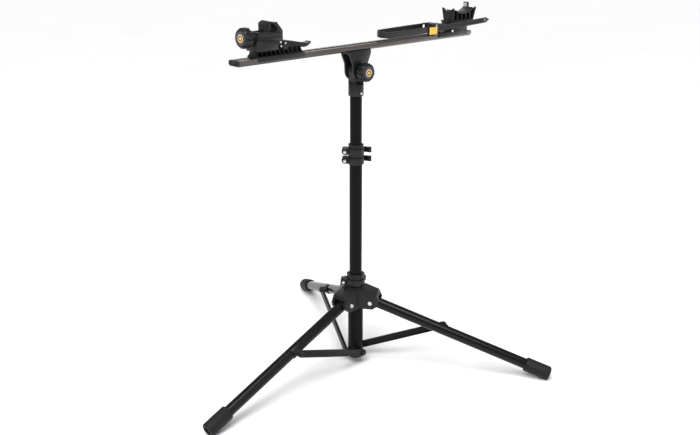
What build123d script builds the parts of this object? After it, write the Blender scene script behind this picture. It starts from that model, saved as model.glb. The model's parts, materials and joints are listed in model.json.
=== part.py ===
"""Folding bicycle repair stand: tripod, telescopic column, tilting beam with an axle clamp and a cradle.

Millimetres, +Z up. The origin is on the floor under the column. The beam runs along X, with the
bottom bracket cradle at +X and the axle clamp at -X. Leg a stands under the axle clamp's end.
"""
import os
from math import atan2, cos, degrees, hypot, radians, sin, sqrt

from build123d import *

os.makedirs("parts", exist_ok=True)

# ---- driving dimensions ----
tripod_turn = 4.4     # the tripod stands turned a little from the beam, about the column
leg_azimuths = {"a": 180 + tripod_turn, "b": 300 + tripod_turn, "c": 60 + tripod_turn}
fit = 0.05            # radial clearance of a running fit
gap = 0.3             # clearance between faces that move past each other

# column
mid_r = 17.5
mid_bore = 16.25
upper_r = 16.2
upper_bore = 14.7
guide_r = 21.4
guide_bore = 19.9
spreader_bottom = 15
spreader_top = 42
spreader_floor = 7
mid_top = 640
upper_bottom = 315
upper_top = 800

# hub
hub_bottom = 176
hub_top = 237
cheek_half = 26       # outer faces of a leg clevis
slot_half = 17.2      # inner faces of a leg clevis
pivot_r = 47
pivot_z = 195
pivot_bolt_r = 4

# legs
leg_r = 15
leg_bore = 13.5
foot_r = 20
foot_reach = 555      # radius of the middle of a foot's end
foot_height = 15.6
foot_length = 72
leg_start = 16        # from the pivot to the tube's upper end
folded_lean = 3       # angle between a folded leg and the column
foot_recess_r = 11.5
foot_recess = 4

# struts
strut_side = 25       # inner face, sideways from the leg's own vertical plane
strut_thick = 7
strut_width = 20
strut_inner_z = 33
strut_outer_r = 250     # on the leg's axis
strut_bolt_r = 4

# clamps round the column
lug_azimuth = 136
band_wall = 2.8
lug_gap = 3
lug_thick = 7
clamp_bolt_r = 2.5
barrel_r = 3
eye_r = 7
lever_height = 15
hub_lever_tail = 16
collar_lever_tail = 31

# head
socket_r = 20.5
tilt_z = 846
tongue_half = 11.7
cheek_inner = 12
cheek_outer = 18
tilt_bolt_r = 5
beam_bottom = 900.7
beam_top = 915.1
beam_half = 19.4
beam_left = -393
beam_right = 445
cap_thick = 4
knob_r = 24.5
knob_teeth = 12
knob_boss_r = 13
knob_boss = 6
badge_r = 17
badge_sink = 1.2

# carriages on the beam
lip_inner = 19.5
lip_outer = 22.4
lip_bottom = 907
deck_bottom = 915.2
deck_top = 918.5
axle_left = -338
axle_right = -196
axle_body_left = -336.5
axle_body_right = -261.5
axle_body_bottom = 931
axle_body_top = 975.5
screw_z = 963.6
pocket_bottom = 955
pocket_left = -332
pocket_right = -292
jaw_left = -311.5
jaw_right = -298
jaw_half = 13
jaw_top = 1000
axle_knob_back = -352
axle_knob_length = 21
cradle_left = 304
cradle_right = 426
anchor_back = 23.1    # the strap's back end is riveted to this face
arch_left = (378, 976.5)
arch_low = (413, 967.3)
arch_right = (451, 980.6)
near_plate_x = 362
horn_x = 459          # tall horn on the far plate, with the grey pad on its inner face
horn_inner = 6
horn_outer = 21.5
horn_foot = 968
horn_top = 993
pad_foot = 971

# strap
strap_thick = 2.6
strap_width = 16.5
strap_front = -28     # middle of the front run
strap_back = 25
loop_left = 86
buckle_x = 277        # the buckle lever's pin
buckle_y = -33

leg_run = foot_reach - pivot_r
leg_drop = pivot_z - foot_height
leg_slope = degrees(atan2(leg_drop, leg_run))
leg_length = hypot(leg_run, leg_drop)
bracket_along = (strut_outer_r - pivot_r) * leg_length / leg_run
strut_outer_z = pivot_z - (strut_outer_r - pivot_r) * leg_drop / leg_run
strut_length = hypot(strut_outer_r, strut_outer_z - strut_inner_z)
strut_rise = degrees(atan2(strut_outer_z - strut_inner_z, strut_outer_r))

# folding: the folded legs stop a little short of upright, so that the feet clear the struts
folded_reach = pivot_r + bracket_along * sin(radians(folded_lean))
folded_rise = sqrt(strut_length**2 - folded_reach**2)
folded_drop = bracket_along * cos(radians(folded_lean))
fold_travel = strut_inner_z + folded_rise + folded_drop - pivot_z
leg_fold = 90 - folded_lean - leg_slope
strut_fold = degrees(atan2(folded_rise, folded_reach)) - strut_rise
print("leg slope", round(leg_slope, 3), "leg length", round(leg_length, 1))
print("fold travel", round(fold_travel, 3))
print("leg fold", round(leg_fold, 3), "strut fold", round(strut_fold, 3))


def save(piece, name):
    """Label a finished piece and write its STEP file."""
    piece.part.label = name
    export_step(piece.part, f"parts/{name}.step")


def turned(azimuth, origin, x_dir, z_dir):
    """A plane given in a leg's own frame: x outwards, y to the leg's left seen from above, z up."""
    frame = Plane.XY.rotated((0, 0, azimuth))
    return Plane(
        origin=frame.from_local_coords(Vector(*origin)),
        x_dir=frame.from_local_coords(Vector(*x_dir)),
        z_dir=frame.from_local_coords(Vector(*z_dir)),
    )


def side_plane(azimuth, sideways=0.0):
    """The upright plane of a leg, moved sideways: local x is outwards, local y is up."""
    return turned(azimuth, (0, sideways, 0), (1, 0, 0), (0, -1, 0))


def ring(name, bottom, height, outer, inner):
    """An upright tube or ring on the column's axis."""
    with BuildPart() as piece:
        with BuildSketch(Plane.XY.offset(bottom)):
            Circle(outer)
            Circle(inner, mode=Mode.SUBTRACT)
        extrude(amount=height)
    save(piece, name)


# ---- hub ----
def hub():
    """Moulded hub: three clevises for the legs round a bore for the guide tube."""
    with BuildPart() as hub_body:
        for azimuth in leg_azimuths.values():
            with BuildSketch(side_plane(azimuth)) as arm:
                with BuildLine():
                    Polyline(
                        (0, hub_bottom),
                        (54, hub_bottom),
                        (70, 188),
                        (73, 200),
                        (64, 220),
                        (28, 233),
                        (0, 236),
                        close=True,
                    )
                make_face()
                fillet(arm.vertices().sort_by(Axis.X)[-4:], radius=5)
            extrude(amount=cheek_half, both=True)
        with BuildSketch(Plane.XY.offset(hub_bottom)):
            Circle(29.5)
        extrude(amount=215 - hub_bottom)
        with BuildSketch(Plane.XY.offset(215)):
            Circle(29.5)
        with BuildSketch(Plane.XY.offset(hub_top)):
            Circle(26.5)
        loft()
        for azimuth in leg_azimuths.values():
            with BuildSketch(turned(azimuth, (0, 0, hub_bottom - 1), (1, 0, 0), (0, 0, 1))):
                with Locations((31 + 30, 0)):
                    Rectangle(60, 2 * slot_half)
            extrude(amount=36, mode=Mode.SUBTRACT)
            with BuildSketch(side_plane(azimuth)):
                with Locations((pivot_r, pivot_z)):
                    Circle(pivot_bolt_r)
            extrude(amount=cheek_half + 1, both=True, mode=Mode.SUBTRACT)
        with BuildSketch(Plane.XY.offset(hub_bottom - 1)):
            Circle(guide_r)
        extrude(amount=hub_top - hub_bottom + 2, mode=Mode.SUBTRACT)
    save(hub_body, "hub_body")

    with BuildPart() as leg_pivot_bolts:
        for azimuth in leg_azimuths.values():
            with BuildSketch(side_plane(azimuth, -cheek_half)):
                with Locations((pivot_r, pivot_z)):
                    Circle(pivot_bolt_r)
            extrude(amount=-2 * cheek_half)
            for side in (-1, 1):
                with BuildSketch(side_plane(azimuth, side * cheek_half)):
                    with Locations((pivot_r, pivot_z)):
                        Circle(6.5)
                        RegularPolygon(2.6, 6, mode=Mode.SUBTRACT)
                extrude(amount=-side * 3.5, taper=12)
                with BuildSketch(side_plane(azimuth, side * cheek_half)):
                    with Locations((pivot_r, pivot_z)):
                        Circle(3.5)
                extrude(amount=-side * 1.2)
    save(leg_pivot_bolts, "leg_pivot_bolts")

    ring("guide_tube", spreader_top + 0.2, 262 - spreader_top - 0.2, guide_r, guide_bore)

    with BuildPart() as guide_bushes:
        for bottom in (spreader_top + 1, 262 - 16):
            with BuildSketch(Plane.XY.offset(bottom)):
                Circle(guide_bore)
                Circle(mid_r + fit, mode=Mode.SUBTRACT)
            extrude(amount=16)
    save(guide_bushes, "guide_bushes")


def clamp_sleeve(name, bottom, step, top, tube_r, lip_r, outer):
    """Slit plastic sleeve: it seats on the lower tube's end and its lip grips the tube inside."""
    with BuildPart() as sleeve:
        with BuildSketch(Plane.XZ):
            with BuildLine():
                Polyline(
                    (tube_r, bottom),
                    (outer, bottom),
                    (outer, top - 5),
                    (outer + 1.6, top - 3.5),
                    (outer + 1.6, top - 1),
                    (outer, top),
                    (lip_r, top),
                    (lip_r, step),
                    (tube_r, step),
                    close=True,
                )
            make_face()
        revolve(axis=Axis.Z)
        with BuildSketch(turned(lug_azimuth, (0, 0, bottom + 6), (1, 0, 0), (0, 0, 1))):
            with Locations((outer, 0)):
                Rectangle(2 * (outer - lip_r) + 6, 2.4)
        extrude(amount=top - bottom, mode=Mode.SUBTRACT)
    save(sleeve, name)


def lug_reach(inner):
    """Distance from the column's axis to a clamp's bolt."""
    return inner + band_wall + 7.5


def clamp_bands(name, bottoms, height, inner):
    """Split clamp rings, each with two lugs for its bolt."""
    reach = lug_reach(inner)
    outer = inner + band_wall
    with BuildPart() as bands:
        for bottom in bottoms:
            with BuildSketch(turned(lug_azimuth, (0, 0, bottom), (1, 0, 0), (0, 0, 1))):
                Circle(outer)
                with Locations(((inner + reach) / 2, 0)):
                    Rectangle(reach - inner, lug_gap + 2 * lug_thick)
                Circle(inner, mode=Mode.SUBTRACT)
                with Locations((reach, 0)):
                    Rectangle(2 * (reach - inner) + 4, lug_gap, mode=Mode.SUBTRACT)
            extrude(amount=height)
            for side in (-1, 1):
                near = side * lug_gap / 2
                with BuildSketch(side_plane(lug_azimuth, near)):
                    with Locations((reach, bottom + height / 2)):
                        Circle(height / 2)
                extrude(amount=-side * lug_thick)
            with BuildSketch(side_plane(lug_azimuth)):
                with Locations((reach, bottom + height / 2)):
                    Circle(clamp_bolt_r)
            extrude(amount=lug_thick + lug_gap, both=True, mode=Mode.SUBTRACT)
    save(bands, name)


def clamp_bolts(name, bottoms, height, inner):
    """Clamp bolts: a cap nut on the near lug and a cross barrel in the lever's eye."""
    reach = lug_reach(inner)
    face = lug_gap / 2 + lug_thick
    barrel_side = -(face + eye_r + gap)
    with BuildPart() as bolts:
        for bottom in bottoms:
            middle = bottom + height / 2
            with BuildSketch(side_plane(lug_azimuth, face)):
                with Locations((reach, middle)):
                    Circle(clamp_bolt_r)
            extrude(amount=face - barrel_side)
            with BuildSketch(side_plane(lug_azimuth, face)):
                with Locations((reach, middle)):
                    RegularPolygon(5, 6)
            extrude(amount=-5)
            with BuildSketch(side_plane(lug_azimuth, face + 5)):
                with Locations((reach, middle)):
                    Circle(4.4)
            extrude(amount=-2.4, taper=20)
            plane = turned(lug_azimuth, (reach, barrel_side, middle), (1, 0, 0), (0, 0, 1))
            with BuildSketch(plane):
                Circle(barrel_r)
            extrude(amount=lever_height / 2 + 0.6, both=True)
            for side in (-1, 1):
                with BuildSketch(plane.offset(side * (lever_height / 2 + gap))):
                    Circle(5)
                extrude(amount=side * 1.6)
    save(bolts, name)


def clamp_lever(name, bottom, height, inner, tail):
    """Quick release lever: a forked cam eye on the barrel and an arm round the back of the tube."""
    reach = lug_reach(inner)
    middle = bottom + height / 2
    barrel_side = -(lug_gap / 2 + lug_thick + eye_r + gap)
    base = turned(lug_azimuth, (0, 0, middle - lever_height / 2), (1, 0, 0), (0, 0, 1))
    arm_r = inner + band_wall + 5
    start = degrees(atan2(barrel_side, reach))
    stop = -108
    bend = Vector(arm_r * cos(radians(stop)), arm_r * sin(radians(stop)))
    onward = Vector(sin(radians(stop)), -cos(radians(stop)))
    tip = bend + onward * tail
    with BuildPart() as lever:
        with BuildSketch(base):
            with BuildLine() as path:
                arc = CenterArc((0, 0), arm_r, start, stop - start)
                Line(arc @ 1, (tip.X, tip.Y))
            trace(path.line, 4.2)
            with Locations((tip.X, tip.Y)):
                Circle(4.6)
            with Locations((reach, barrel_side)):
                Circle(eye_r)
        extrude(amount=lever_height)
        with BuildSketch(base.offset(lever_height / 2)):
            with Locations((reach, barrel_side)):
                Circle(eye_r + 0.9)
        extrude(amount=clamp_bolt_r + 0.5, both=True, mode=Mode.SUBTRACT)
        with BuildSketch(base):
            with Locations((reach, barrel_side)):
                Circle(barrel_r + fit)
            Circle(inner + band_wall + 1.2)
        extrude(amount=lever_height, mode=Mode.SUBTRACT)
        for step in range(3):
            groove = tip - onward * (3 * step)
            out = Vector(onward.Y, -onward.X)
            with BuildSketch(base):
                with Locations((groove.X + out.X * 4.8, groove.Y + out.Y * 4.8)):
                    Circle(0.9)
            extrude(amount=lever_height, mode=Mode.SUBTRACT)
    save(lever, name)
    print(name, "pivot along and across the lug", round(reach, 3), round(barrel_side, 3))


# ---- legs ----
def leg_plane(azimuth, along, below=0.0, sideways=0.0):
    """A plane square to a leg's axis; along runs down the leg from its pivot."""
    c = cos(radians(leg_slope))
    s = sin(radians(leg_slope))
    origin = (pivot_r + along * c - below * s, sideways, pivot_z - along * s - below * c)
    return turned(azimuth, origin, (0, 1, 0), (c, 0, -s))


def leg(tag, azimuth):
    """One leg: tube, pivot knuckle, rubber foot and the bracket that carries its strut."""
    with BuildPart() as tube:
        with BuildSketch(leg_plane(azimuth, leg_start)):
            Circle(leg_r)
            Circle(leg_bore, mode=Mode.SUBTRACT)
        extrude(amount=leg_length - leg_start - 10)
    save(tube, f"leg_{tag}_tube")

    with BuildPart() as knuckle:
        with BuildSketch(side_plane(azimuth)):
            with Locations((pivot_r, pivot_z)):
                Circle(12)
        extrude(amount=slot_half - gap, both=True)
        with BuildSketch(leg_plane(azimuth, 0)):
            Circle(leg_bore + 0.4)
        extrude(amount=leg_start)
        with BuildSketch(leg_plane(azimuth, leg_start)):
            Circle(leg_bore)
        extrude(amount=30)
        with BuildSketch(side_plane(azimuth)):
            with Locations((pivot_r, pivot_z)):
                Circle(pivot_bolt_r + fit)
        extrude(amount=slot_half + 1, both=True, mode=Mode.SUBTRACT)
    save(knuckle, f"leg_{tag}_knuckle")

    with BuildPart() as foot:
        with BuildSketch(leg_plane(azimuth, leg_length - foot_length)):
            Circle(foot_r - 1)
        with BuildSketch(leg_plane(azimuth, leg_length - foot_length + 3)):
            Circle(foot_r)
        loft()
        with BuildSketch(leg_plane(azimuth, leg_length - foot_length + 3)):
            Circle(foot_r)
        extrude(amount=foot_length - 3)
        end = foot.faces().sort_by(Axis((0, 0, 0), leg_plane(azimuth, 0).z_dir))[-1]
        fillet(end.edges(), radius=6)
        with BuildSketch(leg_plane(azimuth, leg_length - foot_recess)):
            Circle(foot_recess_r)
        extrude(amount=foot_recess + 1, mode=Mode.SUBTRACT)
        with BuildSketch(leg_plane(azimuth, leg_length - foot_length - 1)):
            Circle(leg_r)
        extrude(amount=foot_length - 9, mode=Mode.SUBTRACT)
        split(bisect_by=Plane.XY, keep=Keep.TOP)
    save(foot, f"leg_{tag}_foot")

    with BuildPart() as bracket:
        with BuildSketch(leg_plane(azimuth, bracket_along - 13)):
            Circle(leg_r + 2.2)
        extrude(amount=26)
        with BuildSketch(side_plane(azimuth, 7)):
            with Locations((strut_outer_r, strut_outer_z)):
                Rectangle(80, 80)
        extrude(amount=80, mode=Mode.SUBTRACT)
        with BuildSketch(side_plane(azimuth, 8)):
            with Locations((strut_outer_r, strut_outer_z)):
                Circle(9.5)
        extrude(amount=-(strut_side - gap - 8))
        with BuildSketch(leg_plane(azimuth, bracket_along - 40)):
            Circle(leg_r)
        extrude(amount=80, mode=Mode.SUBTRACT)
    save(bracket, f"leg_{tag}_bracket")


def strut(tag, azimuth):
    """One strut: a flat channel between the spreader and its leg, and the bolt at its outer end."""
    rise = radians(strut_rise)
    origin = (0, strut_side, strut_inner_z)
    along = (cos(rise), 0, sin(rise))
    inner_face = turned(azimuth, origin, along, (0, 1, 0))
    with BuildPart() as bar:
        with BuildSketch(inner_face):
            with Locations((strut_length / 2, 0)):
                SlotCenterToCenter(strut_length, strut_width)
            with Locations((0, 0)):
                Circle(strut_bolt_r + fit, mode=Mode.SUBTRACT)
            with Locations((strut_length, 0)):
                Circle(strut_bolt_r, mode=Mode.SUBTRACT)
        extrude(amount=strut_thick)
        with BuildSketch(inner_face):
            with Locations((strut_length / 2, 0)):
                Rectangle(strut_length - 36, strut_width - 5)
        extrude(amount=strut_thick - 2.2, mode=Mode.SUBTRACT)
    save(bar, f"strut_{tag}_bar")

    with BuildPart() as bolt:
        with BuildSketch(inner_face):
            with Locations((strut_length, 0)):
                Circle(strut_bolt_r)
        extrude(amount=strut_thick)
        with BuildSketch(inner_face.offset(strut_thick)):
            with Locations((strut_length, 0)):
                Circle(8)
        extrude(amount=4.5, taper=24)
    save(bolt, f"strut_{tag}_bolt")


# ---- column ----
def column():
    """Fixed column: the middle tube, the spreader under it, and the double clamp at its top."""
    ring("mid_tube", spreader_bottom + spreader_floor, mid_top - spreader_bottom - spreader_floor,
         mid_r, mid_bore)

    with BuildPart() as spreader:
        with BuildSketch(Plane.XY.offset(spreader_bottom)):
            Circle(21.5)
        extrude(amount=spreader_top - spreader_bottom)
        fillet(spreader.faces().sort_by(Axis.Z)[0].edges(), radius=3)
        for azimuth in leg_azimuths.values():
            with BuildSketch(side_plane(azimuth, strut_side - gap)):
                with Locations((0, strut_inner_z)):
                    Circle(9)
            extrude(amount=strut_side)
        with BuildSketch(Plane.XY.offset(spreader_bottom + spreader_floor)):
            Circle(mid_r)
        extrude(amount=spreader_top, mode=Mode.SUBTRACT)
        for azimuth in leg_azimuths.values():
            with BuildSketch(side_plane(azimuth, strut_side + 1)):
                with Locations((0, strut_inner_z)):
                    Circle(strut_bolt_r)
            extrude(amount=strut_side - mid_r + 3, mode=Mode.SUBTRACT)
    save(spreader, "spreader")

    with BuildPart() as spreader_bolts:
        for azimuth in leg_azimuths.values():
            outer = strut_side + strut_thick + gap
            with BuildSketch(side_plane(azimuth, outer)):
                with Locations((0, strut_inner_z)):
                    Circle(strut_bolt_r)
            extrude(amount=outer - mid_r - 0.6)
            with BuildSketch(side_plane(azimuth, outer)):
                with Locations((0, strut_inner_z)):
                    Circle(7.5)
            extrude(amount=-4, taper=20)
    save(spreader_bolts, "spreader_bolts")

    clamp_sleeve("collar_sleeve", 592, mid_top, 649, mid_r, upper_r + fit, 19.8)
    clamp_bands("collar_bands", (595, 620), 17.5, 19.8)
    clamp_bolts("collar_bolts", (595, 620), 17.5, 19.8)
    clamp_lever("collar_lever_lower", 595, 17.5, 19.8, collar_lever_tail)
    clamp_lever("collar_lever_upper", 620, 17.5, 19.8, collar_lever_tail)


# ---- mast ----
def mast():
    """Sliding upper tube with its guide plug and the socket for the head."""
    with BuildPart() as mast_glide:
        with BuildSketch(Plane.XY.offset(upper_bottom - 12)):
            Circle(mid_bore - fit)
        extrude(amount=12 - gap)
        with BuildSketch(Plane.XY.offset(upper_bottom - 12)):
            Circle(upper_bore - fit)
        extrude(amount=32)
        with BuildSketch(Plane.XY.offset(upper_bottom - 13)):
            Circle(10)
        extrude(amount=40, mode=Mode.SUBTRACT)
    save(mast_glide, "mast_glide")

    ring("upper_tube", upper_bottom, upper_top - upper_bottom, upper_r, upper_bore)

    with BuildPart() as head_socket:
        with BuildSketch(Plane.XY.offset(780)):
            Circle(socket_r)
        extrude(amount=30)
        chamfer(head_socket.faces().sort_by(Axis.Z)[0].edges(), length=2)
        with BuildSketch(Plane.XY.offset(810)):
            Circle(socket_r)
        with BuildSketch(Plane.XY.offset(819)):
            Rectangle(34, 2 * tongue_half)
        loft()
        with BuildSketch(Plane.XZ):
            with Locations((0, tilt_z)):
                Circle(21)
            with Locations((0, 830)):
                Rectangle(34, 32)
        extrude(amount=tongue_half, both=True)
        with BuildSketch(Plane.XZ):
            with Locations((0, tilt_z)):
                Circle(tilt_bolt_r + fit)
        extrude(amount=tongue_half + 1, both=True, mode=Mode.SUBTRACT)
        with BuildSketch(Plane.XY.offset(779)):
            Circle(upper_r)
        extrude(amount=upper_top - 779, mode=Mode.SUBTRACT)
        for azimuth in (270, 90):
            with BuildSketch(turned(azimuth, (0, 0, 788), (0, 1, 0), (1, 0, 0))):
                Circle(2.5)
            extrude(amount=socket_r + 1, mode=Mode.SUBTRACT)
    save(head_socket, "head_socket")

    with BuildPart() as socket_screws:
        for azimuth in (270, 90):
            with BuildSketch(turned(azimuth, (upper_r + 0.1, 0, 788), (0, 1, 0), (1, 0, 0))):
                Circle(2.5)
            extrude(amount=socket_r - upper_r - 0.1)
            with BuildSketch(turned(azimuth, (socket_r, 0, 788), (0, 1, 0), (1, 0, 0))):
                Circle(3.8)
            extrude(amount=1.8, taper=20)
    save(socket_screws, "socket_screws")


# ---- beam ----
def scalloped(radius, teeth, bite):
    """A knob's outline: a disc with rounded notches round its rim."""
    Circle(radius)
    with PolarLocations(radius + bite * 0.2, teeth):
        Circle(bite, mode=Mode.SUBTRACT)


def hand_knob(name, back, side, outward, length, bore):
    """A scalloped knob: boss behind, bevelled front rim, badge recess and a bore from the back."""
    across = Vector(*side)
    out = Vector(*outward)
    seat = Plane(origin=back, x_dir=across, z_dir=out)
    with BuildPart() as grip:
        with BuildSketch(seat):
            scalloped(knob_r, knob_teeth, 4)
        extrude(amount=length)
        with BuildSketch(Plane(origin=back, x_dir=across, z_dir=across.cross(out))):
            with BuildLine():
                Polyline(
                    (0, -knob_boss),
                    (knob_boss_r, -knob_boss),
                    (knob_boss_r, 0),
                    (knob_r - 1.5, 0),
                    (knob_r, 1.5),
                    (knob_r, length - 4.5),
                    (knob_r - 3.8, length),
                    (0, length),
                    close=True,
                )
            make_face()
        revolve(axis=Axis(back, outward), mode=Mode.INTERSECT)
        with BuildSketch(seat.offset(-knob_boss)):
            Circle(knob_boss_r)
        extrude(amount=knob_boss + 1)
        with BuildSketch(seat.offset(length - badge_sink)):
            Circle(badge_r)
        extrude(amount=3, mode=Mode.SUBTRACT)
        with BuildSketch(seat.offset(-knob_boss - 1)):
            Circle(bore)
        extrude(amount=knob_boss + length - 3, mode=Mode.SUBTRACT)
    save(grip, name + "_knob")

    with BuildPart() as badge:
        with BuildSketch(seat.offset(length - badge_sink)):
            Circle(badge_r)
        extrude(amount=badge_sink + 0.4, taper=14)
    save(badge, name + "_badge")


def beam_outline():
    """The beam's outside, in a plane across it: flat top, lower corners cut away."""
    corner = 4.5
    Polygon(
        (-beam_half + 1, beam_top),
        (-beam_half, beam_top - 1),
        (-beam_half, beam_bottom + corner),
        (-beam_half + corner, beam_bottom),
        (beam_half - corner, beam_bottom),
        (beam_half, beam_bottom + corner),
        (beam_half, beam_top - 1),
        (beam_half - 1, beam_top),
        align=None,
    )


def beam_group():
    """Yoke, beam and caps, and the bolt and knob that lock the tilt."""
    with BuildPart() as yoke:
        with BuildSketch(Plane.XZ) as cheek:
            with BuildLine():
                Polyline(
                    (-25, tilt_z),
                    (-26, 866),
                    (-37, 890),
                    (-37.5, beam_bottom),
                    (37.5, beam_bottom),
                    (37, 890),
                    (26, 866),
                    (25, tilt_z),
                    close=True,
                )
            make_face()
            with Locations((0, tilt_z)):
                Circle(25)
            fillet(cheek.vertices().group_by(Axis.Y)[-3:-1][0], radius=14)
        extrude(amount=cheek_outer, both=True)
        with BuildSketch(Plane.XZ):
            with Locations((0, (815 + 893) / 2)):
                Rectangle(90, 893 - 815)
        extrude(amount=cheek_inner, both=True, mode=Mode.SUBTRACT)
        with BuildSketch(Plane.XZ):
            with Locations((0, tilt_z)):
                Circle(tilt_bolt_r)
        extrude(amount=cheek_outer + 1, both=True, mode=Mode.SUBTRACT)
        with BuildSketch(Plane.XY.offset(890)):
            with Locations((-22, 0), (22, 0)):
                Circle(2.6)
        extrude(amount=20, mode=Mode.SUBTRACT)
    save(yoke, "yoke")

    with BuildPart() as yoke_screws:
        with BuildSketch(Plane.XY.offset(889.5)):
            with Locations((-22, 0), (22, 0)):
                Circle(4.6)
        extrude(amount=3.5)
        with BuildSketch(Plane.XY.offset(893)):
            with Locations((-22, 0), (22, 0)):
                Circle(2.6)
        extrude(amount=10)
    save(yoke_screws, "yoke_screws")

    with BuildPart() as beam:
        with BuildSketch(Plane(origin=(beam_left, 0, 0), x_dir=(0, 1, 0), z_dir=(1, 0, 0))) as profile:
            middle = (beam_bottom + beam_top) / 2
            height = beam_top - beam_bottom
            beam_outline()
            with Locations((0, beam_top)):
                Rectangle(13, 5, mode=Mode.SUBTRACT)
            with Locations((-12.6, middle), (12.6, middle)):
                Rectangle(7.6, height - 5.4, mode=Mode.SUBTRACT)
            with Locations((0, middle - 1.6)):
                Rectangle(12, height - 7.6, mode=Mode.SUBTRACT)
        extrude(amount=beam_right - beam_left)
        with BuildSketch(Plane.XY.offset(beam_bottom - 1)):
            with Locations((-22, 0), (22, 0)):
                Circle(2.6)
        extrude(amount=4, mode=Mode.SUBTRACT)
    save(beam, "beam")

    with BuildPart() as beam_caps:
        for start, way in ((beam_left, -1), (beam_right, 1)):
            with BuildSketch(Plane(origin=(start, 0, 0), x_dir=(0, 1, 0), z_dir=(1, 0, 0))):
                beam_outline()
            extrude(amount=way * cap_thick, taper=24)
            with BuildSketch(Plane(origin=(start, 0, 0), x_dir=(0, 1, 0), z_dir=(1, 0, 0))):
                with Locations((-12.6, middle), (12.6, middle)):
                    Rectangle(7.4, height - 5.6)
            extrude(amount=-way * 10)
            with BuildSketch(Plane(origin=(start + way * 5, 0, 0), x_dir=(0, 1, 0), z_dir=(1, 0, 0))):
                with Locations((-9.5, middle), (9.5, middle)):
                    Circle(2.4)
            extrude(amount=-way * 4, mode=Mode.SUBTRACT)
    save(beam_caps, "beam_caps")

    with BuildPart() as tilt_bolt:
        with BuildSketch(Plane.XZ.offset(-cheek_outer)):
            with Locations((0, tilt_z)):
                Circle(tilt_bolt_r)
        extrude(amount=2 * cheek_outer + 24)
        with BuildSketch(Plane.XZ.offset(-cheek_outer)):
            with Locations((0, tilt_z)):
                Circle(9.5)
        extrude(amount=-5, taper=20)
    save(tilt_bolt, "tilt_bolt")

    hand_knob("tilt", (0, -26, tilt_z), (1, 0, 0), (0, -1, 0), 22, tilt_bolt_r + fit)


# ---- carriages ----
def carriage_deck(left, right):
    """A deck over the beam with a lip down each side of it."""
    plane = Plane(origin=(left, 0, 0), x_dir=(0, 1, 0), z_dir=(1, 0, 0))
    with BuildSketch(plane) as section:
        with Locations((0, (lip_bottom + deck_top) / 2)):
            Rectangle(2 * lip_outer, deck_top - lip_bottom)
        with Locations((0, (lip_bottom - 2 + deck_bottom) / 2)):
            Rectangle(2 * lip_inner, deck_bottom - lip_bottom + 2, mode=Mode.SUBTRACT)
    extrude(section.sketch, amount=right - left)


def cross_ribs(first, last, count, top, half):
    """Upright ribs across the deck."""
    pitch = (last - first) / (count - 1)
    with BuildSketch(Plane.XY.offset(deck_top)) as ribs:
        with Locations([(first + pitch * number, 0) for number in range(count)]):
            Rectangle(2.4, 2 * half)
    extrude(ribs.sketch, amount=top - deck_top)


def gusset_ribs(first, last, count, top, upper_half, lower_half):
    """Upright ribs across the deck, each spreading from its top down to the deck's lips."""
    thick = 2.6
    waist = upper_half + 1.5
    halfway = (top + deck_top) / 2
    pitch = (last - first - thick) / (count - 1)
    for number in range(count):
        plane = Plane(origin=(first + pitch * number, 0, 0), x_dir=(0, 1, 0), z_dir=(1, 0, 0))
        with BuildSketch(plane) as gusset:
            with BuildLine():
                left = Spline((-upper_half, top), (-waist, halfway), (-lower_half, deck_top))
                right = Spline((lower_half, deck_top), (waist, halfway), (upper_half, top))
                Line(left @ 1, right @ 0)
                Line(right @ 1, left @ 0)
            make_face()
        extrude(gusset.sketch, amount=thick)


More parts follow.
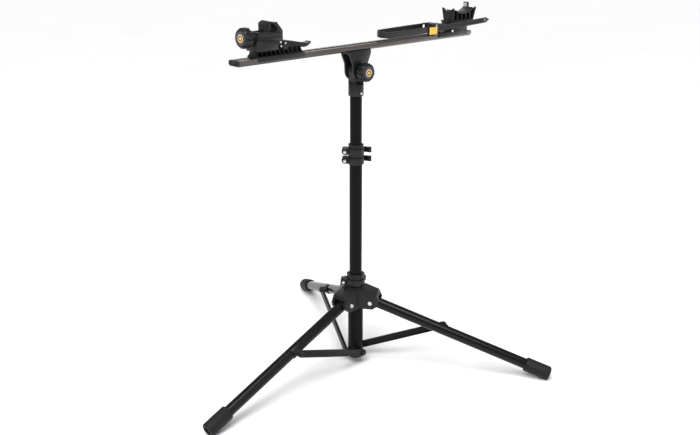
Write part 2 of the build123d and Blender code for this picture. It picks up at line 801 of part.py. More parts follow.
def axle_head():
    """Carriage, body, screw-driven jaw, knob and locking lever of the axle clamp."""
    with BuildPart() as axle_base:
        carriage_deck(axle_left, axle_right)
        with BuildSketch(Plane.XY.offset(deck_top)):
            with Locations(((axle_left + axle_right) / 2, 0)):
                Rectangle(axle_right - axle_left - 4, 12)
        extrude(amount=axle_body_bottom - deck_top)
        gusset_ribs(axle_left, axle_right - 4, 11, axle_body_bottom, 13, lip_outer)
        for side in (-1, 1):
            with BuildSketch(Plane.XZ.offset(side * 12.7)):
                with Locations((-251, 944)):
                    Circle(6.5)
                with Locations((-251, 936)):
                    Rectangle(13, 16)
            extrude(amount=2.3, both=True)
        with BuildSketch(Plane.XZ):
            with Locations((-251, 944)):
                Circle(2.5)
        extrude(amount=16, both=True, mode=Mode.SUBTRACT)
    save(axle_base, "axle_base")

    with BuildPart() as axle_body:
        with BuildSketch(Plane.XZ) as outline:
            with BuildLine():
                Polyline(
                    (axle_body_left, axle_body_bottom),
                    (-275, axle_body_bottom),
                    (-275, 941),
                    (axle_body_right, 952),
                    (axle_body_right, axle_body_top),
                    (-279, 996),
                    (-291, 996),
                    (-291, 990),
                    (-304, axle_body_top),
                    (axle_body_left, axle_body_top),
                    close=True,
                )
            make_face()
            with Locations((-285, 978)):
                Circle(7, mode=Mode.SUBTRACT)
            with BuildLine():
                Polyline((-304, 976), (-288, 971.5), (-278.5, 981), (-291, 996), (-304, 990), close=True)
            make_face(mode=Mode.SUBTRACT)
        extrude(amount=19.4, both=True)
        chamfer(axle_body.faces().sort_by(Axis.X)[0].edges(), length=2)
        with BuildSketch(Plane.XZ):
            with BuildLine():
                Polyline(
                    (axle_body_left - 5, axle_body_bottom),
                    (-280, axle_body_bottom),
                    (-280, 941),
                    (-288, 951.5),
                    (axle_body_left - 5, 954.5),
                    close=True,
                )
            make_face()
        extrude(amount=20.8, both=True)
        with BuildSketch(Plane.XY.offset(pocket_bottom)):
            with Locations(((pocket_left + pocket_right) / 2, 0)):
                Rectangle(pocket_right - pocket_left, 2 * (jaw_half + 0.6))
        extrude(amount=60, mode=Mode.SUBTRACT)
        with BuildSketch(Plane(origin=(axle_body_left - 1, 0, screw_z), x_dir=(0, 1, 0), z_dir=(1, 0, 0))):
            Circle(4 + fit)
        extrude(amount=10, mode=Mode.SUBTRACT)
        for side in (-1, 1):
            with BuildSketch(Plane.XZ.offset(side * 19.4)):
                with Locations(((axle_body_left + axle_body_right) / 2, 963)):
                    Rectangle(axle_body_right - axle_body_left + 2, 1.4)
            extrude(amount=-side * 1.2, mode=Mode.SUBTRACT)
        with BuildSketch(Plane.XZ):
            with Locations((-269, 948)):
                Circle(2.6)
        extrude(amount=21, both=True, mode=Mode.SUBTRACT)
    save(axle_body, "axle_body")

    with BuildPart() as axle_pins:
        with BuildSketch(Plane.XZ):
            with Locations((-251, 944)):
                Circle(2.5)
        extrude(amount=16.5, both=True)
        with BuildSketch(Plane.XZ):
            with Locations((-269, 948)):
                Circle(2.6)
        extrude(amount=20.6, both=True)
    save(axle_pins, "axle_pins")

    with BuildPart() as axle_lever:
        with BuildSketch(Plane.XZ):
            with Locations((-251, 944)):
                Circle(6)
            with BuildLine():
                top = Spline((-251, 950), (-225, 946), (-190, 939), (-177, 937), (-164, 940))
                under = Spline((-166, 935.5), (-176, 929.5), (-190, 927.5))
                Line(top @ 1, under @ 0)
                Polyline(under @ 1, (-194, 931.8), (-238, 931.8), (-251, 938), top @ 0)
            make_face()
        extrude(amount=10, both=True)
        with BuildSketch(Plane.XZ):
            with Locations((-251, 944)):
                Circle(2.5 + fit)
        extrude(amount=11, both=True, mode=Mode.SUBTRACT)
    save(axle_lever, "axle_lever")

    with BuildPart() as axle_jaw:
        with BuildSketch(Plane.XZ):
            with BuildLine():
                Polyline(
                    (jaw_left, pocket_bottom + gap),
                    (jaw_left, 992),
                    (jaw_left + 8, jaw_top),
                    (jaw_right - 3, jaw_top),
                    (jaw_right + 2, 990),
                    (jaw_right + 2, 983),
                    (jaw_right, 979),
                    (jaw_right, pocket_bottom + gap),
                    close=True,
                )
            make_face()
        extrude(amount=jaw_half, both=True)
        chamfer(axle_jaw.faces().sort_by(Axis.X)[0].edges().filter_by(Axis.Z), length=2)
        chamfer(axle_jaw.faces().sort_by(Axis.Z)[-1].edges().filter_by(Axis.X), length=4.5)
        with BuildSketch(Plane(origin=(jaw_left - 1, 0, screw_z), x_dir=(0, 1, 0), z_dir=(1, 0, 0))):
            Circle(4 + fit)
        extrude(amount=jaw_right - jaw_left - 1, mode=Mode.SUBTRACT)
        for side in (-1, 1):
            with BuildSketch(Plane.XZ.offset(side * jaw_half)):
                with Locations((jaw_left + 7, 987)):
                    Rectangle(4, 11)
            extrude(amount=-side * 1.5, mode=Mode.SUBTRACT)
    save(axle_jaw, "axle_jaw")

    spindle_end = jaw_right - 3.5
    hand_knob("axle", (axle_knob_back, 0, screw_z), (0, 1, 0), (-1, 0, 0), axle_knob_length, 4)
    with BuildPart() as axle_spindle:
        with BuildSketch(Plane(origin=(axle_knob_back - 14, 0, screw_z), x_dir=(0, 1, 0), z_dir=(1, 0, 0))):
            Circle(4)
        extrude(amount=spindle_end - axle_knob_back + 14)
    save(axle_spindle, "axle_spindle")


def cradle_plate(foot_x, top_x, horn):
    """The plane of a cradle's end plate: local x is across the beam, local y is up the plate."""
    lean = top_x - foot_x
    rise = horn - 944
    return Plane(origin=(foot_x, 0, 944), x_dir=(0, 1, 0), z_dir=(rise, 0, -lean))


def cradle_head():
    """Carriage and moulded cradle for a bottom bracket, with grey rubber pads."""
    with BuildPart() as cradle_base:
        carriage_deck(cradle_left, cradle_right)
        cross_ribs(cradle_left + 3, 356, 6, 926, 20)
        with BuildSketch(Plane.XY.offset(deck_top)):
            with Locations(((cradle_left + 360) / 2, 0)):
                Rectangle(360 - cradle_left, 14)
        extrude(amount=926 - deck_top)
        with BuildSketch(Plane.XY.offset(deck_top)):
            with Locations(((360 + cradle_right) / 2, 0)):
                Rectangle(cradle_right - 360, 40)
        extrude(amount=944 - deck_top)
        with BuildSketch(Plane.XY.offset(deck_top - 2)):
            with Locations((311, (anchor_back - lip_outer + 0.1) / 2)):
                Rectangle(14, anchor_back + lip_outer - 0.1)
        extrude(amount=944 - deck_top + 2)
        with BuildSketch(Plane.XY.offset(deck_top - 2)):
            with Locations((312, 0)):
                Rectangle(17, 14)
        extrude(amount=924 - deck_top + 2)
        with BuildSketch(Plane.XZ):
            with Locations((358, 921)):
                Circle(2.4)
        extrude(amount=23, both=True, mode=Mode.SUBTRACT)
    save(cradle_base, "cradle_base")

    with BuildPart() as cradle_body:
        with BuildSketch(Plane.XY.offset(944)):
            with Locations((404, 0)):
                Rectangle(96, 40)
        extrude(amount=4)
        with BuildSketch(Plane.XY.offset(944)):
            with Locations([(x, 0) for x in range(387, 450, 18)]):
                Rectangle(3, 34)
            with Locations((413, 0)):
                Rectangle(68, 3)
        extrude(amount=44)
        with BuildSketch(Plane.XZ):
            with BuildLine():
                upper = ThreePointArc(arch_left, arch_low, arch_right)
                Polyline(upper @ 1, (arch_right[0], 1010), (arch_left[0], 1010), upper @ 0)
            make_face()
        extrude(amount=25, both=True, mode=Mode.SUBTRACT)
        with BuildSketch(Plane.XZ):
            with BuildLine():
                upper = ThreePointArc(arch_left, arch_low, arch_right)
                lower = ThreePointArc(
                    (arch_right[0], arch_right[1] - 3.4),
                    (arch_low[0], arch_low[1] - 3),
                    (arch_left[0], arch_left[1] - 3.4),
                )
                Line(upper @ 1, lower @ 0)
                Line(lower @ 1, upper @ 0)
            make_face()
        extrude(amount=18, both=True)
        for foot_x, top_x, horn in ((near_plate_x + 3, near_plate_x, 983), (452, 459, 982)):
            tall = hypot(top_x - foot_x, horn - 944)
            with BuildSketch(cradle_plate(foot_x, top_x, horn)):
                with BuildLine():
                    Polyline(
                        (-16.7, 0),
                        (16.7, 0),
                        (21.5, 0.9 * tall),
                        (20, tall),
                        (16, 0.95 * tall),
                        (8, 0.76 * tall),
                        (-8, 0.76 * tall),
                        (-16, 0.95 * tall),
                        (-20, tall),
                        (-21.5, 0.9 * tall),
                        close=True,
                    )
                make_face()
            extrude(amount=4)
        with BuildSketch(Plane.XY.offset(horn_foot)):
            with Locations((horn_x, (horn_inner + horn_outer) / 2)):
                Rectangle(7, horn_outer - horn_inner)
        extrude(amount=horn_top - horn_foot)
        chamfer(cradle_body.faces().sort_by(Axis.Z)[-1].edges(), length=1.5)
    save(cradle_body, "cradle_body")

    with BuildPart() as cradle_pads:
        with BuildSketch(Plane.YZ.offset(horn_x - 3.5)):
            with Locations(((horn_inner + horn_outer) / 2, (pad_foot + horn_top - 2.5) / 2)):
                RectangleRounded(horn_outer - horn_inner - 3, horn_top - 2.5 - pad_foot, 1.5)
        extrude(amount=-2)
    save(cradle_pads, "cradle_pads")


def strap_group():
    """Ladder strap with its loop, and the ratchet buckle that draws it tight."""
    loop_plane = Plane(origin=(270, 0, 934.7), x_dir=(1, 0, 0.014), z_dir=(-0.014, -0.05, 1))
    rise = radians(2)
    tail_plane = Plane(
        origin=(270, 0, 933.1),
        x_dir=(cos(rise), 0, sin(rise)),
        z_dir=(-sin(rise), 0, cos(rise)),
    )
    loop_end = loop_left - 270
    with BuildPart() as strap:
        with BuildSketch(loop_plane.offset(-strap_width / 2)):
            with BuildLine() as route:
                FilletPolyline(
                    (45, strap_back),
                    (-60, strap_back),
                    (loop_end + 12, strap_back - 3),
                    (loop_end, -2),
                    (loop_end + 12, strap_front + 3),
                    (-60, strap_front),
                    (14, strap_front),
                    radius=[60, 17, 22, 17, 60],
                )
            trace(route.line, strap_thick)
        extrude(amount=strap_width)
        with BuildSketch(tail_plane.offset(-strap_width / 2 + 0.8)):
            with Locations((127, strap_front)):
                Rectangle(242, strap_thick)
        extrude(amount=strap_width - 1.6)
        with BuildSketch(Plane.XZ.offset(-strap_back - strap_thick / 2)):
            with Locations((289, 936.2)):
                Circle(9.4)
        extrude(amount=strap_thick)
        with BuildSketch(Plane.XZ.offset(-strap_back - 3)):
            with Locations((289, 936.2)):
                Circle(5.6)
        extrude(amount=6, mode=Mode.SUBTRACT)
        with BuildSketch(Plane.XZ.offset(-strap_front - 3)):
            with Locations((498, 941)):
                Circle(3)
        extrude(amount=6, mode=Mode.SUBTRACT)
        with BuildSketch(Plane.XZ.offset(-strap_front - 4)):
            with BuildLine():
                Polyline(
                    (503, 925),
                    (503, 935.5),
                    (517, 941.6),
                    (503, 947.5),
                    (503, 960),
                    (530, 960),
                    (530, 925),
                    close=True,
                )
            make_face()
        extrude(amount=8, mode=Mode.SUBTRACT)
    save(strap, "strap")

    with BuildPart() as buckle_frame:
        with BuildSketch(Plane.XZ.offset(lip_outer)):
            with Locations((285, 935)):
                Rectangle(70, 22)
        extrude(amount=3)
        for low, high in ((916.5, 919.5), (946.5, 949.5)):
            with BuildSketch(Plane.XY.offset(low)):
                with Locations((270, -29.2)):
                    Rectangle(30, 13.6)
            extrude(amount=high - low)
        with BuildSketch(Plane.XZ.offset(lip_outer)):
            with Locations((270, 933)):
                Rectangle(30, 33)
        extrude(amount=3)
        with BuildSketch(Plane.XY.offset(916)):
            with Locations((buckle_x, buckle_y)):
                Circle(2)
        extrude(amount=40, mode=Mode.SUBTRACT)
    save(buckle_frame, "buckle_frame")

    with BuildPart() as cradle_pins:
        with BuildSketch(Plane.XZ):
            with Locations((358, 921)):
                Circle(2.4)
        extrude(amount=lip_outer, both=True)
        for side in (-1, 1):
            with BuildSketch(Plane.XZ.offset(side * lip_outer)):
                with Locations((358, 921)):
                    Circle(3.6)
            extrude(amount=side * 1.2)
        with BuildSketch(Plane.XY.offset(915.7)):
            with Locations((buckle_x, buckle_y)):
                Circle(2)
        extrude(amount=34.6)
        with BuildSketch(Plane.XY.offset(949.5)):
            with Locations((buckle_x, buckle_y)):
                Circle(3.2)
        extrude(amount=1.4)
    save(cradle_pins, "cradle_pins")

    with BuildPart() as buckle_lever:
        with BuildSketch(Plane.XY.offset(920)):
            with Locations((buckle_x, buckle_y)):
                Circle(3)
            with BuildLine():
                Polyline(
                    (buckle_x, -30.7),
                    (252, -30.9),
                    (249.5, -33),
                    (253, -35.4),
                    (buckle_x, -35.5),
                    close=True,
                )
            make_face()
        extrude(amount=20)
        with BuildSketch(Plane.XY.offset(919)):
            with Locations((buckle_x, buckle_y)):
                Circle(2 + fit)
        extrude(amount=22, mode=Mode.SUBTRACT)
    save(buckle_lever, "buckle_lever")


hub()
clamp_sleeve("hub_sleeve", 238, 262, 274, guide_r, mid_r + fit, 23.8)
clamp_bands("hub_band", (240,), 18, 23.8)
clamp_bolts("hub_clamp_bolt", (240,), 18, 23.8)
clamp_lever("hub_lever", 240, 18, 23.8, hub_lever_tail)
for tag, azimuth in leg_azimuths.items():
    leg(tag, azimuth)
    strut(tag, azimuth)
column()
mast()
beam_group()
axle_head()
cradle_head()
strap_group()
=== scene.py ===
"""Bike repair stand: finishes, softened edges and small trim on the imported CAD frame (metres)."""
import json
import math

import bmesh
import bpy
from mathutils import Matrix, Vector


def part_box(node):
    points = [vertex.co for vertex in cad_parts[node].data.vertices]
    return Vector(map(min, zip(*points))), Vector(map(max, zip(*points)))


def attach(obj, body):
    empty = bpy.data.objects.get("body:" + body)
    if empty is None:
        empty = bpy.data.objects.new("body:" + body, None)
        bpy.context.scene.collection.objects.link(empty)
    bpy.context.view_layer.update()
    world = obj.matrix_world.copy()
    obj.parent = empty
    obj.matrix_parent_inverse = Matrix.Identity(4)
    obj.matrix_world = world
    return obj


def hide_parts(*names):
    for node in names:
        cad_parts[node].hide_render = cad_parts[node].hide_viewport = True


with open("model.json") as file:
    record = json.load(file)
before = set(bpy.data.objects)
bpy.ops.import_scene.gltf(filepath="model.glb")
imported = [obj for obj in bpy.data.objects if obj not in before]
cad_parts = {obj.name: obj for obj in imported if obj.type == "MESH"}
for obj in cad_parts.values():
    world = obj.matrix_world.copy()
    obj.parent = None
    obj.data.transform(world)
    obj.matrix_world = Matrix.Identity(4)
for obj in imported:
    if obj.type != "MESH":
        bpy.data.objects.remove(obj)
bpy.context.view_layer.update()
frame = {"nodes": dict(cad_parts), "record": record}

MM = 0.001


# ---- materials ----
def link(tree, a, b):
    tree.links.new(a, b)


def blank(name):
    """A new material with its node tree, its principled shader and object coordinates."""
    material = bpy.data.materials.new(name)
    material.use_nodes = True
    tree = material.node_tree
    shader = tree.nodes["Principled BSDF"]
    where = tree.nodes.new("ShaderNodeTexCoord")
    return material, tree, shader, where.outputs["Object"]


def noise(tree, coordinates, scale, detail=4.0, stretch=None, rough=0.55):
    """Noise in object space; stretch lengthens its grain along an axis."""
    if stretch:
        mapping = tree.nodes.new("ShaderNodeMapping")
        mapping.inputs["Scale"].default_value = stretch
        link(tree, coordinates, mapping.inputs["Vector"])
        coordinates = mapping.outputs["Vector"]
    texture = tree.nodes.new("ShaderNodeTexNoise")
    texture.inputs["Scale"].default_value = scale
    texture.inputs["Detail"].default_value = detail
    texture.inputs["Roughness"].default_value = rough
    link(tree, coordinates, texture.inputs["Vector"])
    return texture.outputs["Fac"]


def ranged(tree, value, low, high, from_low=0.3, from_high=0.7):
    """Spread a noise value over a range."""
    spread = tree.nodes.new("ShaderNodeMapRange")
    spread.inputs["From Min"].default_value = from_low
    spread.inputs["From Max"].default_value = from_high
    spread.inputs["To Min"].default_value = low
    spread.inputs["To Max"].default_value = high
    link(tree, value, spread.inputs["Value"])
    return spread.outputs["Result"]


def mixed(tree, factor, first, second):
    """Mix two colours; either may be a socket."""
    mix = tree.nodes.new("ShaderNodeMix")
    mix.data_type = "RGBA"
    link(tree, factor, mix.inputs["Factor"])
    for number, colour in ((6, first), (7, second)):
        if isinstance(colour, tuple):
            mix.inputs[number].default_value = (*colour, 1)
        else:
            link(tree, colour, mix.inputs[number])
    return mix.outputs[2]


def bumped(tree, shader, heights):
    """Chain bumps: each height is (socket, strength, distance in metres)."""
    previous = None
    for height, strength, distance in heights:
        bump = tree.nodes.new("ShaderNodeBump")
        bump.inputs["Strength"].default_value = strength
        bump.inputs["Distance"].default_value = distance
        link(tree, height, bump.inputs["Height"])
        if previous:
            link(tree, previous, bump.inputs["Normal"])
        previous = bump.outputs["Normal"]
    link(tree, previous, shader.inputs["Normal"])


def painted_edge_highlight(tree, colour, edge, highlight_amount):
    """Painted highlight: lighten a colour along outside edges, so that they read as lit edges catching
    glints.
    """
    shape = tree.nodes.new("ShaderNodeNewGeometry")
    # painted highlight: the paler edge colour is laid on convex edges, found by pointiness
    highlight_mask = ranged(tree, shape.outputs["Pointiness"], 0.0, highlight_amount, 0.51, 0.62)
    return mixed(tree, highlight_mask, colour, edge)


def coated_metal(name, base, light, rough, stretch, metallic=0.0, edge_highlight=0.35, specular=0.12):
    """Anodised or painted tube: fine drawn lines along its length and faint cloudy gloss."""
    material, tree, shader, where = blank(name)
    lines = noise(tree, where, 900, 2, stretch)
    clouds = noise(tree, where, 22, 5)
    colour = mixed(tree, ranged(tree, clouds, 0, 1), base, light)
    # painted highlight: the colour turns lighter along outside edges
    colour = painted_edge_highlight(tree, colour, tuple(min(1, 2.2 * c + 0.03) for c in light), edge_highlight)
    link(tree, colour, shader.inputs["Base Color"])
    link(tree, ranged(tree, clouds, rough - 0.04, rough + 0.05), shader.inputs["Roughness"])
    shader.inputs["Metallic"].default_value = metallic
    shader.inputs["Specular IOR Level"].default_value = specular
    bumped(tree, shader, [(lines, 0.03, 0.00005)])
    return material


def moulded(name, base, light, rough, grain=1100, depth=0.00012, edge_highlight=0.45, strength=0.35):
    """Glass-filled moulding: spark-eroded grain, slight flow marks, and outside edges made paler as a
    painted highlight.
    """
    material, tree, shader, where = blank(name)
    fine = noise(tree, where, grain, 3)
    flow = noise(tree, where, 35, 4, (1, 1, 0.4))
    colour = mixed(tree, ranged(tree, flow, 0, 1), base, light)
    # painted highlight: the colour turns lighter along outside edges
    colour = painted_edge_highlight(tree, colour, tuple(min(1, 2.0 * c + 0.02) for c in light), edge_highlight)
    link(tree, colour, shader.inputs["Base Color"])
    link(tree, ranged(tree, fine, rough - 0.06, rough + 0.08), shader.inputs["Roughness"])
    shader.inputs["Specular IOR Level"].default_value = 0.26
    bumped(tree, shader, [(flow, 0.15, 0.0004), (fine, strength, depth)])
    return material


def bright_metal(name, base, rough):
    """Zinc-plated steel: small scratches and slight tarnish."""
    material, tree, shader, where = blank(name)
    scratches = noise(tree, where, 700, 6, (1, 0.15, 1))
    stain = noise(tree, where, 180, 4)
    colour = mixed(tree, ranged(tree, stain, 0, 1), base, tuple(c * 0.82 for c in base))
    link(tree, colour, shader.inputs["Base Color"])
    link(tree, ranged(tree, scratches, rough - 0.06, rough + 0.1), shader.inputs["Roughness"])
    shader.inputs["Metallic"].default_value = 1.0
    bumped(tree, shader, [(scratches, 0.2, 0.0001)])
    return material


def glossy(name, base, deep, rough):
    """Lacquered or glossy moulded trim."""
    material, tree, shader, where = blank(name)
    cloud = noise(tree, where, 260, 4)
    link(tree, mixed(tree, ranged(tree, cloud, 0, 1), base, deep), shader.inputs["Base Color"])
    link(tree, ranged(tree, cloud, rough - 0.04, rough + 0.06), shader.inputs["Roughness"])
    shader.inputs["Coat Weight"].default_value = 0.5
    shader.inputs["Coat Roughness"].default_value = 0.12
    bumped(tree, shader, [(cloud, 0.08, 0.0002)])
    return material


# the edge strength argument of a finish scales its painted highlight along outside edges
FINISH = {
    "black_anodised": coated_metal("black tube", (0.0010, 0.0010, 0.0011), (0.0018, 0.0017, 0.0018), 0.16,
                                   (1, 1, 0.02), edge_highlight=0.12, specular=0.2),
    "beam_anodised": coated_metal("bronze black beam", (0.075, 0.066, 0.063), (0.105, 0.092, 0.088), 0.34,
                                  (0.02, 1, 1), 0.85),
    "strut_black": coated_metal("black strut", (0.006, 0.006, 0.007), (0.010, 0.010, 0.011), 0.4,
                                (0.3, 0.3, 0.3)),
    "cast_black": moulded("black cast metal", (0.004, 0.004, 0.005), (0.008, 0.008, 0.009), 0.36, 1500),
    "moulded_black": moulded("black moulding", (0.004, 0.004, 0.005), (0.008, 0.008, 0.009), 0.38),
    "foot_rubber": moulded("black rubber", (0.005, 0.005, 0.006), (0.009, 0.009, 0.010), 0.6, 700, 0.0002),
    "bright_steel": bright_metal("bright steel", (0.72, 0.72, 0.71), 0.24),
    "black_steel": coated_metal("black bolt", (0.010, 0.010, 0.011), (0.018, 0.018, 0.019), 0.3,
                                (1, 1, 1), 0.2),
    "badge_blue": glossy("navy badge", (0.012, 0.014, 0.055), (0.020, 0.022, 0.075), 0.25),
    "strap_black": moulded("black strap", (0.012, 0.012, 0.013), (0.018, 0.018, 0.019), 0.45, 900, 0.0001),
    "pad_grey": moulded("grey rubber pad", (0.30, 0.31, 0.32), (0.38, 0.39, 0.40), 0.7, 500, 0.0003),
    "gold_lever": glossy("gold lever", (0.86, 0.52, 0.06), (0.72, 0.40, 0.04), 0.3),
}
SATIN = coated_metal("satin black tube", (0.0010, 0.0010, 0.0011), (0.0022, 0.0021, 0.0022), 0.3,
                     (1, 1, 0.02), edge_highlight=0.12, specular=0.07)
GOLD = glossy("gold badge ring", (0.80, 0.56, 0.13), (0.66, 0.42, 0.07), 0.28)

BODY_OF = {node: body for body, nodes in frame["record"]["behaviour"]["bodies"].items() for node in nodes}
SLOT_OF = {entry["node"]: entry["material_slot"] for entry in frame["record"]["subparts"]}


# ---- geometry ----
def smooth_by_angle(mesh, degrees=32):
    """Smooth faces, with hard edges kept where faces meet at a sharp angle."""
    sharp = math.radians(degrees)
    form = bmesh.new()
    form.from_mesh(mesh)
    for face in form.faces:
        face.smooth = True
    for edge in form.edges:
        edge.smooth = len(edge.link_faces) == 2 and edge.calc_face_angle(0) < sharp
    form.to_mesh(mesh)
    form.free()


def finish_piece(piece, body, slot, material=None):
    """Give a piece its material, chosen by its slot unless one is given, and its body."""
    piece.data.materials.clear()
    piece.data.materials.append(material or FINISH[slot])
    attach(piece, body)
    return piece


def softened(node, width, segments=2, angle=30):
    """Stand in for a CAD node with the same shape, its sharp edges rounded by width metres."""
    form = bmesh.new()
    form.from_mesh(frame["nodes"][node].data)
    bmesh.ops.remove_doubles(form, verts=form.verts, dist=0.00001)
    bmesh.ops.dissolve_limit(form, angle_limit=math.radians(1), verts=form.verts, edges=form.edges)
    mesh = bpy.data.meshes.new(node + "_soft")
    form.to_mesh(mesh)
    form.free()
    piece = bpy.data.objects.new(node + "_soft", mesh)
    bpy.context.scene.collection.objects.link(piece)
    bevel = piece.modifiers.new("bevel", "BEVEL")
    bevel.width = width
    bevel.segments = segments
    bevel.limit_method = "ANGLE"
    bevel.angle_limit = math.radians(angle)
    bevel.use_clamp_overlap = True
    bevel.harden_normals = False
    graph = bpy.context.evaluated_depsgraph_get()
    shaped = bpy.data.meshes.new_from_object(piece.evaluated_get(graph))
    piece.modifiers.clear()
    piece.data = shaped
    bpy.data.meshes.remove(mesh)
    smooth_by_angle(piece.data)
    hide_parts(node)
    return finish_piece(piece, BODY_OF[node], SLOT_OF[node])


def new_piece(name, form, body, slot, material=None):
    """Make an object from a bmesh."""
    mesh = bpy.data.meshes.new(name)
    bmesh.ops.recalc_face_normals(form, faces=form.faces)
    form.to_mesh(mesh)
    form.free()
    smooth_by_angle(mesh)
    piece = bpy.data.objects.new(name, mesh)
    bpy.context.scene.collection.objects.link(piece)
    return finish_piece(piece, body, slot, material)


def add_turned(form, profile, place, steps=48):
    """Turn a closed profile of (radius, height) about the local z axis of place."""
    rings = []
    for radius, height in profile:
        ring = []
        for step in range(steps):
            angle = 2 * math.pi * step / steps
            spot = Vector((radius * math.cos(angle), radius * math.sin(angle), height))
            ring.append(form.verts.new(place @ spot))
        rings.append(ring)
    for number in range(len(rings)):
        here, there = rings[number], rings[(number + 1) % len(rings)]
        for step in range(steps):
            form.faces.new((here[step], here[(step + 1) % steps], there[(step + 1) % steps], there[step]))


def rounded_ring(inner, outer, height, edge):
    """Profile of a low ring with rounded edges."""
    return [(inner, 0), (outer, 0), (outer, height - edge), (outer - edge, height),
            (inner + edge, height), (inner, height - edge)]


def add_rounded_box(form, centre, size, edge):
    """A box with bevelled edges."""
    made = bmesh.ops.create_cube(form, size=1)["verts"]
    bmesh.ops.scale(form, vec=size, verts=made)
    edges = list({e for v in made for e in v.link_edges})
    bevelled = bmesh.ops.bevel(form, geom=edges, offset=edge, segments=2, affect="EDGES", profile=0.5)
    verts = list({v for f in bevelled["faces"] for v in f.verts} | {v for v in made if v.is_valid})
    bmesh.ops.translate(form, vec=centre, verts=verts)


# ---- pieces ----
TRIPOD_SIDES = "abc"


def each_side(pattern):
    """The three nodes of a sub-part that the tripod repeats."""
    return [pattern.format(side) for side in TRIPOD_SIDES]


# radius of the rounded edges, in millimetres, of the nodes that have them
EDGES = {
    1.6: ["hub_body"],
    1.4: ["axle_jaw"],
    1.3: ["axle_body"],
    1.2: ["yoke", "head_socket", "hub_lever", "collar_lever_lower", "collar_lever_upper",
          *each_side("leg_{}_foot")],
    1.0: ["axle_lever"],
    0.9: ["tilt_knob", "axle_knob", "buckle_lever"],
    0.8: ["spreader", "spreader_bolts", "tilt_bolt", *each_side("leg_{}_bracket"),
          *each_side("leg_{}_knuckle"), *each_side("strut_{}_bolt")],
    0.7: ["cradle_body", "hub_band", "collar_bands"],
    0.6: ["hub_sleeve", "collar_sleeve", "beam_caps", *each_side("strut_{}_bar")],
    0.5: ["axle_base", "cradle_base", "cradle_pads", "beam", "strap", "buckle_frame"],
    0.4: ["cradle_pins", "hub_clamp_bolt", "collar_bolts", "leg_pivot_bolts", "socket_screws",
          "axle_pins"],
}
EDGE_OF = {node: width * MM for width, nodes in EDGES.items() for node in nodes}
SATIN_TUBES = ("mid_tube", "upper_tube", "guide_tube")


def dress_nodes():
    """Soften the moulded and machined nodes; the plain tubes keep their CAD shape."""
    for node, plain in frame["nodes"].items():
        plain.data.materials.clear()
        plain.data.materials.append(SATIN if node in SATIN_TUBES else FINISH[SLOT_OF[node]])
        smooth_by_angle(plain.data)
        if node in EDGE_OF:
            softened(node, EDGE_OF[node])


def badge_rings():
    """A plain gold ring and centre dot on each knob's navy badge."""
    ring = rounded_ring(0.0070, 0.0098, 0.0006, 0.0002)
    dot = rounded_ring(0.0002, 0.0038, 0.0006, 0.0002)
    for node, body, outward in (("tilt_badge", "tilt_knob", Vector((0, -1, 0))),
                                ("axle_badge", "axle_knob", Vector((-1, 0, 0)))):
        low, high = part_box(node)
        centre = (low + high) / 2
        thickness = abs((high - low).dot(outward))
        face = centre + outward * thickness / 2
        place = Matrix.Translation(face) @ outward.to_track_quat("Z", "Y").to_matrix().to_4x4()
        form = bmesh.new()
        add_turned(form, ring, place)
        add_turned(form, dot, place)
        new_piece(node + "_ring", form, body, "badge_blue", GOLD)


def strap_teeth():
    """Ladder teeth along the strap's tail, which climbs gently from the buckle to its tip."""
    climb = math.tan(math.radians(2))
    tail_start = 0.270
    tail_z = 0.9331
    tail_face = -0.0293
    teeth_start = 0.294
    bare_tip = 0.027
    teeth_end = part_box("strap")[1].x - bare_tip
    pitch = 0.0030
    tooth = Vector((0.0016, 0.0014, 0.0112))
    tooth_edge = 0.0004
    form = bmesh.new()
    for number in range(int((teeth_end - teeth_start) / pitch)):
        x = teeth_start + number * pitch
        z = tail_z + (x - tail_start) * climb
        add_rounded_box(form, Vector((x, tail_face, z)), tooth, tooth_edge)
    new_piece("strap_teeth", form, "cradle", "strap_black")


# ---- stage ----
def camera():
    """Camera at the viewing angle: above the stand, looking down at it past the axle clamp."""
    look_down = 18.66
    heading = -43.59
    data = bpy.data.cameras.new("camera")
    data.sensor_width = 36
    data.lens = 46.87
    data.clip_end = 300
    eye = bpy.data.objects.new("camera", data)
    eye.location = (-1.6622, -1.7231, 1.2472)
    eye.rotation_euler = (math.radians(90 - look_down), 0, math.radians(heading))
    bpy.context.scene.collection.objects.link(eye)
    bpy.context.scene.camera = eye


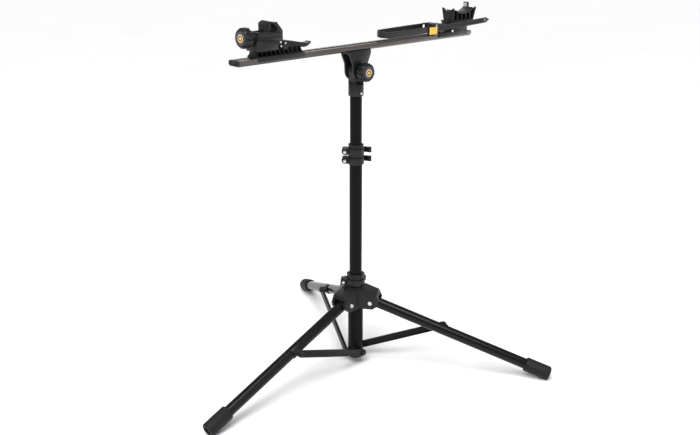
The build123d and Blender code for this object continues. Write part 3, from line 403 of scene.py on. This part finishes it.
def area_light(name, place, target, width, watts, height=None):
    """A soft rectangular light aimed at a point; square unless given a height."""
    data = bpy.data.lights.new(name, "AREA")
    data.shape = "RECTANGLE"
    data.size = width
    data.size_y = height or width
    data.energy = watts
    lamp = bpy.data.objects.new(name, data)
    lamp.location = place
    lamp.rotation_euler = (Vector(target) - Vector(place)).to_track_quat("-Z", "Y").to_euler()
    bpy.context.scene.collection.objects.link(lamp)


def pale_floor():
    """Wide plain floor."""
    bpy.ops.mesh.primitive_plane_add(size=240, location=(0, 0, 0))
    floor = bpy.context.active_object
    floor.name = "floor"
    material, tree, shader, where = blank("pale floor")
    cloud = noise(tree, where, 1.2, 3)
    link(tree, mixed(tree, ranged(tree, cloud, 0, 1), (0.90, 0.90, 0.90), (0.92, 0.92, 0.92)),
         shader.inputs["Base Color"])
    shader.inputs["Roughness"].default_value = 0.8
    floor.data.materials.append(material)


def surroundings():
    """White surroundings, and a plain display of light as it falls."""
    world = bpy.context.scene.world or bpy.data.worlds.new("world")
    bpy.context.scene.world = world
    world.use_nodes = True
    background = world.node_tree.nodes["Background"]
    background.inputs["Color"].default_value = (1, 1, 1, 1)
    background.inputs["Strength"].default_value = 0.3
    bpy.context.scene.view_settings.view_transform = "Standard"


def lights():
    """Soft lights round the stand, and a broad overhead light that keeps the floor evenly white."""
    middle = (0, 0, 0.5)
    area_light("key", (-2.6, -1.2, 3.0), middle, width=1.2, watts=55)
    area_light("fill", (0.6, -3.4, 1.8), middle, width=1.8, watts=14)
    area_light("rim", (1.8, 2.6, 2.4), middle, width=1.6, watts=16)
    area_light("strip", (2.5, -1.1, 0.6), middle, width=0.3, watts=8, height=1.6)
    sun = bpy.data.lights.new("overhead", "SUN")
    sun.energy = 2.75
    sun.angle = math.radians(50)
    lamp = bpy.data.objects.new("overhead", sun)
    lamp.rotation_euler = (math.radians(12), math.radians(-18), 0)
    bpy.context.scene.collection.objects.link(lamp)


dress_nodes()
badge_rings()
strap_teeth()
camera()
pale_floor()
surroundings()
lights()
